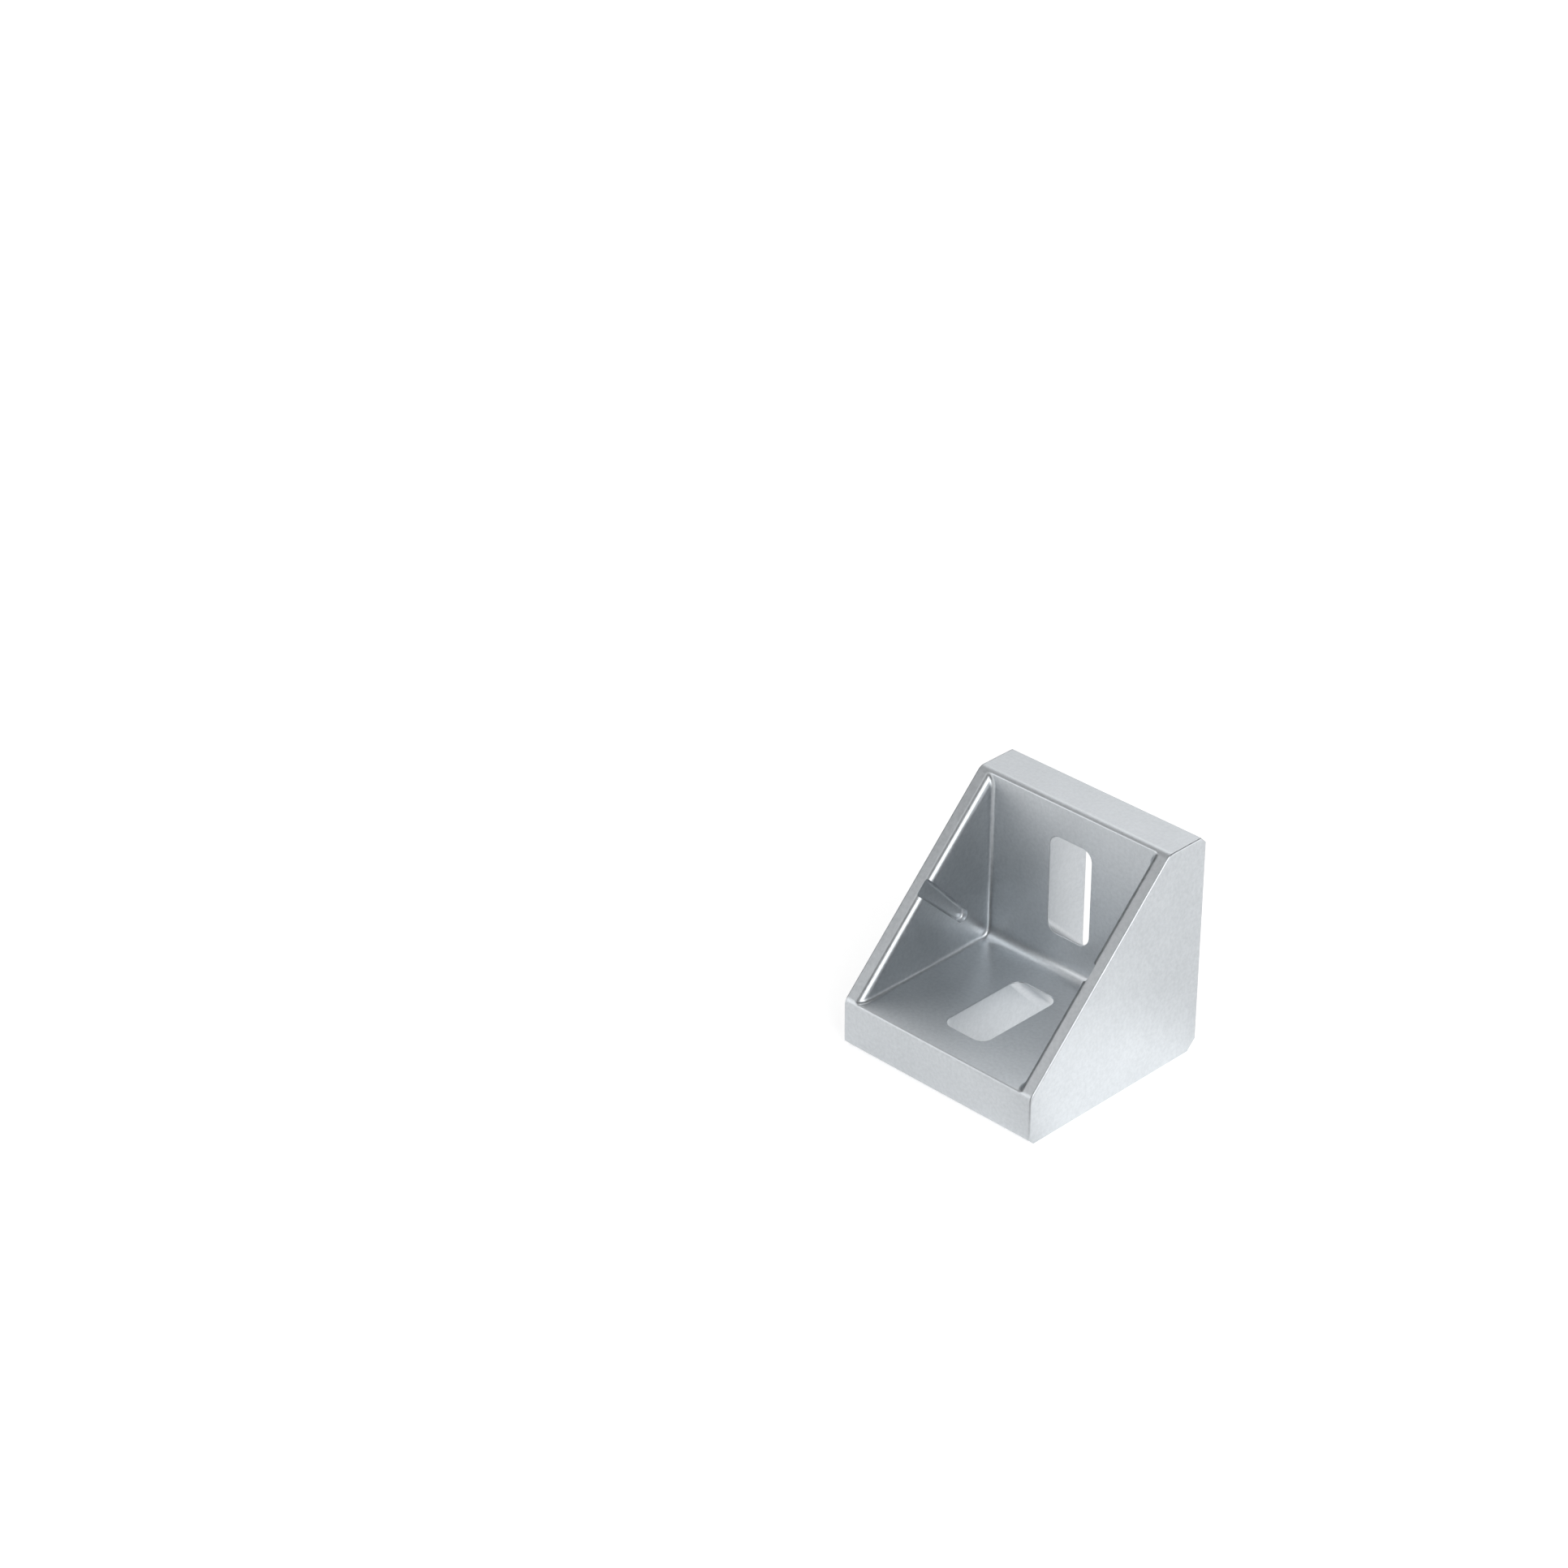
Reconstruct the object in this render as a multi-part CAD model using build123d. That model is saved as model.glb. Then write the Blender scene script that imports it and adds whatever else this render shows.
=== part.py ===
from build123d import *
from math import cos, radians, sin, tan
import os

# Die cast corner bracket for 40 mm T slot profile: one solid, in millimetres.
# The front view looks along +Y. The base mounting face lies on Z = 0 and the back
# mounting face stands upright on the +Y side. The origin is on the base mounting
# face, under the middle of the bracket.

# main sizes
width = 40.0
leg_length = 39.5
leg_thickness = 9.0
side_wall_thickness = 3.0

# outside bevels and roundings
slope_drop = 0.3
end_bevel = 1.25
heel_bevel = 1.85
end_rounding = 2.0
edge_break = 0.3

# pocket between the side walls
heel_fillet = 2.0
pocket_corner_fillet = 0.8
rim_rounding = 1.2
rim_sweep = 88.0
leg_end_fillet = 0.35

# screw slots, one through each leg, for M8 screws
slot_width = 8.8
slot_length = 17.6
slot_centre_from_leg_end = 14.9
slot_corner_radius = 2.0
slot_heel_lean = 43.0
slot_edge_break = 0.15

# cap clip grooves, one on the inner face of each side wall
groove_depth = 1.0
groove_width_at_rim = 3.2
groove_width_at_end = 2.5
groove_length = 13.6
groove_bottom_fillet = 0.5

# how far a cutting shape runs past what it cuts
overrun = 4.0
near = 0.001

# places worked out from the sizes
half_width = width / 2
front = -leg_length / 2
back = leg_length / 2
inner_half_width = half_width - side_wall_thickness
floor_level = leg_thickness
back_wall_front = back - leg_thickness
end_face_height = leg_thickness - slope_drop
slope_offset = end_face_height - front
slope_middle = (0, (front + back - end_face_height) / 2, (leg_length + end_face_height) / 2)


def upright_face(points):
    """Face in the YZ plane from (y, z) pairs."""
    return make_face(Polyline(*[(0, y, z) for y, z in points], close=True))


def spots(edge):
    """Five points along an edge."""
    return [edge.position_at(step / 4) for step in range(5)]


def all_near(edge, distance):
    """True where the given distance is nil all along the edge."""
    return all(abs(distance(spot)) < near for spot in spots(edge))


def on_floor(edge):
    return all_near(edge, lambda spot: spot.Z - floor_level)


def on_back_wall(edge):
    return all_near(edge, lambda spot: spot.Y - back_wall_front)


def outer_body():
    """Two legs at a right angle, with the whole corner between them filled."""
    outline = upright_face(
        [
            (front + end_bevel, 0),
            (back - heel_bevel, 0),
            (back, heel_bevel),
            (back, leg_length - end_bevel),
            (back - end_bevel, leg_length),
            (back - end_face_height, leg_length),
            (front, end_face_height),
            (front, end_bevel),
        ]
    )
    slope_ends = [
        corner
        for corner in outline.vertices()
        if abs(corner.Z - corner.Y - slope_offset) < near
    ]
    outline = fillet(slope_ends, end_rounding)
    body = extrude(outline, amount=half_width, dir=(1, 0, 0), both=True)
    side_edges = [
        edge for edge in body.edges() if all_near(edge, lambda spot: abs(spot.X) - half_width)
    ]
    return fillet(side_edges, edge_break)


def pocket_side_shape(reach):
    """The pocket seen from the side: floor, heel fillet and back wall, open above."""
    outline = upright_face(
        [
            (back_wall_front, floor_level),
            (back_wall_front, leg_length + reach),
            (front - reach, leg_length + reach),
            (front - reach, floor_level),
        ]
    )
    heel = [
        corner
        for corner in outline.vertices()
        if abs(corner.Y - back_wall_front) < near and abs(corner.Z - floor_level) < near
    ]
    outline = fillet(heel, heel_fillet)
    return extrude(outline, amount=half_width + overrun, dir=(1, 0, 0), both=True)


def pocket_section_shape(reach):
    """The pocket seen along the slope: upright sides that flare out over the rims.

    In the section, x is across the bracket and y is the depth under the slope.
    The flare is an arc that stops just short of the slope, and a straight tail
    carries it on, so it leaves the metal at a clean edge.
    """
    radius = min(rim_rounding, side_wall_thickness - 2 * edge_break)
    edge_x = half_width + 2 * overrun

    def flare_point(degrees, side):
        across = inner_half_width + radius * (1 - cos(radians(degrees)))
        return (side * across, radius * (1 - sin(radians(degrees))))

    lines = []
    for side in (1, -1):
        foot = flare_point(0, side)
        top = flare_point(rim_sweep, side)
        tail_rise = (edge_x - abs(top[0])) / tan(radians(rim_sweep))
        tail_end = (side * edge_x, top[1] - tail_rise)
        lines.append(Line((side * inner_half_width, reach), foot))
        lines.append(ThreePointArc(foot, flare_point(rim_sweep / 2, side), top))
        lines.append(Line(top, tail_end))
        lines.append(Line(tail_end, (side * edge_x, -reach)))
    lines.append(Line((-edge_x, -reach), (edge_x, -reach)))
    lines.append(Line((-inner_half_width, reach), (inner_half_width, reach)))
    across_slope = Plane(origin=slope_middle, x_dir=(1, 0, 0), z_dir=(0, 1, 1))
    return extrude(across_slope * make_face(lines), amount=2 * reach, both=True)


def beside_pocket(edge):
    """True for the edges that run along the foot of a side wall and its flare."""
    if any(abs(spot.X) < inner_half_width - near for spot in spots(edge)):
        return False
    if all_near(edge, lambda spot: abs(spot.X) - half_width - overrun):
        return False
    in_heel = edge.geom_type == GeomType.CIRCLE and all_near(
        edge, lambda spot: abs(spot.X) - inner_half_width
    )
    return in_heel or on_floor(edge) or on_back_wall(edge)


def cut_pocket(body):
    """Hollow between the side walls, with soft edges where it runs out over the leg ends."""
    reach = leg_length
    tool = pocket_side_shape(reach) & pocket_section_shape(reach)
    corners = [edge for edge in tool.edges() if beside_pocket(edge)]
    body = body - fillet(corners, pocket_corner_fillet)
    floor_edges = [edge for edge in body.edges() if on_floor(edge)]
    wall_edges = [edge for edge in body.edges() if on_back_wall(edge)]
    floor_end = min(floor_edges, key=lambda edge: edge.center().Y)
    wall_end = max(wall_edges, key=lambda edge: edge.center().Z)
    return fillet([floor_end, wall_end], leg_end_fillet)


def cut_screw_slots(body):
    """One slot through each leg, its long way along the leg.

    A slot goes square through the leg, but its end toward the heel leans that way,
    so the slot is longer on the mounting face than in the pocket.
    """
    corner_radius = min(slot_corner_radius, slot_width / 2 - near)
    outline = RectangleRounded(slot_width, slot_length, corner_radius)
    base_mouth = (0, front + slot_centre_from_leg_end, floor_level)
    back_mouth = (0, back_wall_front, leg_length - slot_centre_from_leg_end)
    square = cos(radians(slot_heel_lean))
    aside = sin(radians(slot_heel_lean))
    reach = leg_thickness / square + overrun
    for centre, outward, leaning in (
        (base_mouth, (0, 0, -1), (0, aside, -square)),
        (back_mouth, (0, 1, 0), (0, square, -aside)),
    ):
        mouth = Plane(origin=centre, x_dir=(1, 0, 0), z_dir=outward) * outline
        body = body - extrude(mouth, amount=reach, dir=outward, both=True)
        body = body - extrude(mouth, amount=reach, dir=leaning)
    inner_edges = [
        edge
        for edge in body.edges()
        if (on_floor(edge) or on_back_wall(edge))
        and all(abs(spot.X) < slot_width / 2 + near for spot in spots(edge))
    ]
    return fillet(inner_edges, slot_edge_break)


def groove_outline():
    """Tapered groove, open over the rim and rounded at its inner end.

    In the outline, x runs along the slope and y is the depth under it.
    """
    half_rim = groove_width_at_rim / 2
    half_end = groove_width_at_end / 2
    straight = groove_length - half_end
    lines = [
        Line((-half_end, straight), (-half_rim, 0)),
        Polyline((-half_rim, 0), (-half_rim, -overrun), (half_rim, -overrun), (half_rim, 0)),
        Line((half_rim, 0), (half_end, straight)),
        ThreePointArc((half_end, straight), (0, groove_length), (-half_end, straight)),
    ]
    return make_face(lines)


def cut_clip_grooves(body):
    """One groove in the inner face of each side wall, square to the middle of the slope."""
    groove_bottom = inner_half_width + groove_depth
    for side in (1, -1):
        plane = Plane(
            origin=(side * groove_bottom, slope_middle[1], slope_middle[2]),
            x_dir=(0, side, side),
            z_dir=(-side, 0, 0),
        )
        tool = extrude(plane * groove_outline(), amount=groove_depth + overrun)
        bottom_edges = [
            edge
            for edge in tool.edges()
            if all_near(edge, lambda spot: abs(spot.X) - groove_bottom)
        ]
        body = body - fillet(bottom_edges, groove_bottom_fillet)
    return body


corner_bracket = cut_clip_grooves(cut_screw_slots(cut_pocket(outer_body())))
corner_bracket.label = "corner_bracket"

os.makedirs("parts", exist_ok=True)
export_step(corner_bracket, "parts/corner_bracket.step")
print("corner_bracket volume", round(corner_bracket.volume, 1), "valid", corner_bracket.is_valid)
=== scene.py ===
"""The looks of the T slot corner bracket: a blasted aluminium casting on a pale studio floor."""

import math

import bpy
from mathutils import Matrix, Vector


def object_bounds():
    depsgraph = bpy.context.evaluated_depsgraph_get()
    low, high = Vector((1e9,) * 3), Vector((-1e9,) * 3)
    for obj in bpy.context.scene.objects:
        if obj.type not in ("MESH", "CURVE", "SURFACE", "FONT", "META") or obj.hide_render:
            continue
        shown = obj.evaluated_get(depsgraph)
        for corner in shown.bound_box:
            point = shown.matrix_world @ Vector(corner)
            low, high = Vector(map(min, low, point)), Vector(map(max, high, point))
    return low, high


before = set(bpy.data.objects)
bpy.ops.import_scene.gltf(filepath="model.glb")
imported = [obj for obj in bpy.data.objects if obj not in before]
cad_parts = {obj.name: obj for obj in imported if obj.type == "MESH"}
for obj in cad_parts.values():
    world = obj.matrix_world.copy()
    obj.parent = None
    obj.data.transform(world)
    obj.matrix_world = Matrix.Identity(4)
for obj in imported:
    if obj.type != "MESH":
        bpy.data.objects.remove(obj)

cad_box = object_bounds()

# Colours are linear and lengths are in metres.
ALUMINIUM_LIGHT = (0.650, 0.677, 0.700)
ALUMINIUM_DARK = (0.540, 0.567, 0.590)
FLOOR_COLOUR = (0.60, 0.60, 0.60)
WHITE = (1.0, 1.0, 1.0)

# The surface's detail: the size of its features, and how many octaves of finer noise they carry.
GRAIN = (0.00022, 2.0)
MOTTLE = (0.0006, 3.0)
CLOUDING = (0.009, 2.0)
OCTAVE_FALLOFF = 0.55

# Noise runs from nought to one, and nearly all of it lies between these two levels.
NOISE_LOW = 0.3
NOISE_HIGH = 0.7

# How much of the step from dark to light aluminium the mottle and the clouding each make.
MOTTLE_SHARE = 0.75
CLOUDING_SHARE = 0.25

GRAIN_HEIGHT = 0.0000014
MOTTLE_HEIGHT = 0.0000045

ROUGHNESS = 0.37
ROUGHNESS_RANGE = 0.04

# The floor's glow. Each patch of it has a centre, the distances where it starts and stops
# fading, and the levels inside and outside it. Straight to the camera, the near floor's glow and
# the lamps together make white, and the far floor is white by itself. In the metal the floor's
# glow is painted light: a painted pool of light under the slots, another beside the right wall,
# and painted shade toward the camera, and there the levels of the three patches are multiplied
# together.
FLOOR_HALF_SIZE = 3.0
SEEN_PATCH = ((0.0, 0.0, 0.0), 0.15, 0.60, 0.70, 1.0)
# Painted light and shade in the floor's glow, seen only in gloss and clear surfaces: a painted
# pool of light under the slots, a painted pool of light beside the right wall, and painted shade
# toward the camera.
PAINTED_LIGHT_UNDER_SLOTS = ((-0.004, 0.014, 0.0), 0.006, 0.024, 0.88, 0.61)
PAINTED_LIGHT_BESIDE_WALL = ((0.027, 0.000, 0.0), 0.010, 0.034, 1.60, 1.0)
PAINTED_SHADE_TOWARD_CAMERA = ((0.064, -0.064, 0.0), 0.045, 0.070, 0.0, 1.0)

# The radiance of the studio around the bracket.
STUDIO_LEVEL = 0.04

# Softboxes: azimuth and elevation seen from the bracket, distance, width, height and radiance.
SOFTBOXES = {
    "key": (65.0, 18.0, 0.40, 0.22, 0.30, 2.55),
    "key_high": (70.0, 48.0, 0.40, 0.27, 0.20, 2.75),
    "side": (128.0, 16.0, 0.40, 0.46, 0.26, 1.4),
    "front": (-20.0, 16.0, 0.50, 0.24, 0.26, 0.95),
    "front_left": (-45.0, 16.0, 0.50, 0.24, 0.26, 1.75),
    "front_high": (-28.0, 48.0, 0.50, 0.28, 0.25, 0.85),
    "left_high": (-92.0, 55.0, 0.50, 0.40, 0.36, 0.5),
    "back": (-150.0, 45.0, 0.50, 0.32, 0.32, 1.55),
}

# The photograph's view of the bracket.
VIEW_DIRECTION = Vector((-0.61508, 0.61116, -0.49816))
VIEW_RIGHT = Vector((0.70522, 0.70899, -0.00091))
CAMERA_PLACE = Vector((0.370848, -0.421532, 0.370433))
LENS = 96.085
SENSOR_WIDTH = 36.0
NEAR_CLIP = 0.01


def add_node(tree, kind, settings=None, links=None):
    """A new shader node, with its plain sockets set and the others linked."""
    node = tree.nodes.new(kind)
    for name, value in (settings or {}).items():
        node.inputs[name].default_value = value
    for name, source in (links or {}).items():
        tree.links.new(source, node.inputs[name])
    return node


def noise(tree, place, size, octaves):
    """Noise whose features are about the given size."""
    settings = {"Scale": 1.0 / size, "Detail": octaves, "Roughness": OCTAVE_FALLOFF}
    return add_node(tree, "ShaderNodeTexNoise", settings, {"Vector": place}).outputs["Fac"]


def ranged(tree, value, low, high):
    """The noise's middle range stretched from low to high."""
    settings = {"From Min": NOISE_LOW, "From Max": NOISE_HIGH, "To Min": low, "To Max": high}
    return add_node(tree, "ShaderNodeMapRange", settings, {"Value": value}).outputs["Result"]


def mixed_colour(tree, factor, first, second):
    """A colour that runs from the first to the second as the factor rises."""
    node = tree.nodes.new("ShaderNodeMix")
    node.data_type = "RGBA"
    node.inputs["A"].default_value = (*first, 1.0)
    node.inputs["B"].default_value = (*second, 1.0)
    tree.links.new(factor, node.inputs["Factor"])
    return node.outputs["Result"]


def summed(tree, first, second, weight):
    """The first value plus the second times its weight."""
    node = add_node(tree, "ShaderNodeMath", {1: weight}, {0: second, 2: first})
    node.operation = "MULTIPLY_ADD"
    return node.outputs[0]


def raised(tree, height, depth, normal=None):
    """A normal bumped by a height that runs from nought to one over the given depth."""
    links = {"Height": height}
    if normal:
        links["Normal"] = normal
    node = add_node(tree, "ShaderNodeBump", {"Strength": 1.0, "Distance": depth}, links)
    return node.outputs["Normal"]


def new_material(name):
    """An empty node material: the material and its tree."""
    material = bpy.data.materials.new(name)
    material.use_nodes = True
    material.node_tree.nodes.clear()
    return material, material.node_tree


def cast_aluminium():
    """Satin aluminium with the fine grain of a blasted casting, a mottle and a faint clouding."""
    material, tree = new_material("cast_aluminium")
    place = tree.nodes.new("ShaderNodeTexCoord").outputs["Object"]
    grain = noise(tree, place, *GRAIN)
    mottle = noise(tree, place, *MOTTLE)
    clouding = noise(tree, place, *CLOUDING)
    clouds = ranged(tree, clouding, 0.0, CLOUDING_SHARE)
    lightness = summed(tree, clouds, ranged(tree, mottle, 0.0, 1.0), MOTTLE_SHARE)
    colour = mixed_colour(tree, lightness, ALUMINIUM_DARK, ALUMINIUM_LIGHT)
    roughness = ranged(tree, mottle, ROUGHNESS - ROUGHNESS_RANGE, ROUGHNESS + ROUGHNESS_RANGE)
    normal = raised(tree, mottle, MOTTLE_HEIGHT)
    normal = raised(tree, grain, GRAIN_HEIGHT, normal)
    links = {"Base Color": colour, "Roughness": roughness, "Normal": normal}
    metal = add_node(tree, "ShaderNodeBsdfPrincipled", {"Metallic": 1.0}, links)
    add_node(tree, "ShaderNodeOutputMaterial", links={"Surface": metal.outputs["BSDF"]})
    return material


def patch(tree, place, centre, start, end, inside, outside):
    """A level that fades from inside to outside with the distance from a centre."""
    distance = add_node(tree, "ShaderNodeVectorMath", {1: centre}, {0: place})
    distance.operation = "DISTANCE"
    settings = {"From Min": start, "From Max": end, "To Min": inside, "To Max": outside}
    level = add_node(tree, "ShaderNodeMapRange", settings, {"Value": distance.outputs["Value"]})
    level.interpolation_type = "SMOOTHSTEP"
    return level.outputs["Result"]


def product(tree, first, second):
    """The first value times the second."""
    node = add_node(tree, "ShaderNodeMath", links={0: first, 1: second})
    node.operation = "MULTIPLY"
    return node.outputs[0]


def floor_glow_and_painted_reflections(tree):
    """The floor's glow, straight to the camera and in gloss and clear surfaces, where it carries
    painted pools of light and painted shade.
    """
    place = tree.nodes.new("ShaderNodeTexCoord").outputs["Object"]
    # Painted reflections: painted pools of light under the slots and beside the right wall, times
    # painted shade toward the camera.
    level = product(tree, patch(tree, place, *PAINTED_LIGHT_UNDER_SLOTS), patch(tree, place, *PAINTED_LIGHT_BESIDE_WALL))
    level = product(tree, level, patch(tree, place, *PAINTED_SHADE_TOWARD_CAMERA))
    rays = tree.nodes.new("ShaderNodeLightPath").outputs
    reflected = summed(tree, rays["Is Glossy Ray"], rays["Is Transmission Ray"], 1.0)
    straight = product(tree, rays["Is Camera Ray"], patch(tree, place, *SEEN_PATCH))
    return summed(tree, straight, product(tree, reflected, level), 1.0)


def pale_floor_with_painted_reflections():
    """A matt pale floor that glows enough to look white and still shows the bracket's shadow, and
    whose glow in gloss and clear surfaces carries painted light and painted shade.
    """
    material, tree = new_material("pale_floor_with_painted_reflections")
    matt = add_node(tree, "ShaderNodeBsdfDiffuse", {"Color": (*FLOOR_COLOUR, 1.0)})
    links = {"Strength": floor_glow_and_painted_reflections(tree)}
    glow = add_node(tree, "ShaderNodeEmission", {"Color": (*WHITE, 1.0)}, links)
    both = add_node(tree, "ShaderNodeAddShader", links={0: matt.outputs[0], 1: glow.outputs[0]})
    add_node(tree, "ShaderNodeOutputMaterial", links={"Surface": both.outputs[0]})
    return material


def add_floor(height):
    """A large flat floor under the bracket."""
    side = FLOOR_HALF_SIZE
    outline = [(-side, -side), (side, -side), (side, side), (-side, side)]
    mesh = bpy.data.meshes.new("floor")
    mesh.from_pydata([(x, y, height) for x, y in outline], [], [(0, 1, 2, 3)])
    mesh.materials.append(pale_floor_with_painted_reflections())
    floor = bpy.data.objects.new("floor", mesh)
    bpy.context.scene.collection.objects.link(floor)


def add_studio():
    """A dim even world around the bracket, which is white straight to the camera."""
    world = bpy.data.worlds.new("studio")
    world.use_nodes = True
    bpy.context.scene.world = world
    tree = world.node_tree
    tree.nodes.clear()
    white = (*WHITE, 1.0)
    around = add_node(tree, "ShaderNodeBackground", {"Color": white, "Strength": STUDIO_LEVEL})
    backdrop = add_node(tree, "ShaderNodeBackground", {"Color": white, "Strength": 1.0})
    rays = tree.nodes.new("ShaderNodeLightPath").outputs
    links = {0: rays["Is Camera Ray"], 1: around.outputs[0], 2: backdrop.outputs[0]}
    mixed = add_node(tree, "ShaderNodeMixShader", links=links)
    add_node(tree, "ShaderNodeOutputWorld", links={"Surface": mixed.outputs[0]})


def direction_to(azimuth, elevation):
    """The unit vector at an azimuth, from the front round to the right, and an elevation."""
    turn, rise = math.radians(azimuth), math.radians(elevation)
    level = math.cos(rise)
    return Vector((math.sin(turn) * level, -math.cos(turn) * level, math.sin(rise)))


def add_softbox(name, centre, azimuth, elevation, distance, width, height, radiance):
    """A rectangular lamp that faces the bracket."""
    lamp = bpy.data.lights.new(name, "AREA")
    lamp.shape = "RECTANGLE"
    lamp.size = width
    lamp.size_y = height
    lamp.energy = radiance * math.pi * width * height
    softbox = bpy.data.objects.new(name, lamp)
    toward = direction_to(azimuth, elevation)
    softbox.rotation_euler = toward.to_track_quat("Z", "Y").to_euler()
    softbox.location = centre + toward * distance
    softbox.visible_camera = False
    bpy.context.scene.collection.objects.link(softbox)


def add_camera():
    """The camera at the photograph's view of the bracket."""
    lens = bpy.data.cameras.new("camera")
    lens.lens = LENS
    lens.sensor_width = SENSOR_WIDTH
    lens.clip_start = NEAR_CLIP
    camera = bpy.data.objects.new("camera", lens)
    up = VIEW_RIGHT.cross(VIEW_DIRECTION)
    turned = Matrix((VIEW_RIGHT, up, -VIEW_DIRECTION)).transposed()
    camera.matrix_world = Matrix.LocRotScale(CAMERA_PLACE, turned.to_quaternion(), None)
    bpy.context.scene.collection.objects.link(camera)
    bpy.context.scene.camera = camera


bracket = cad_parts["corner_bracket"]
bracket.data.materials.clear()
bracket.data.materials.append(cast_aluminium())
middle = (cad_box[0] + cad_box[1]) / 2
add_floor(cad_box[0].z)
add_studio()
for name, (azimuth, elevation, distance, width, height, radiance) in SOFTBOXES.items():
    add_softbox(name, middle, azimuth, elevation, distance, width, height, radiance)
add_camera()
bpy.context.scene.view_settings.view_transform = "Standard"
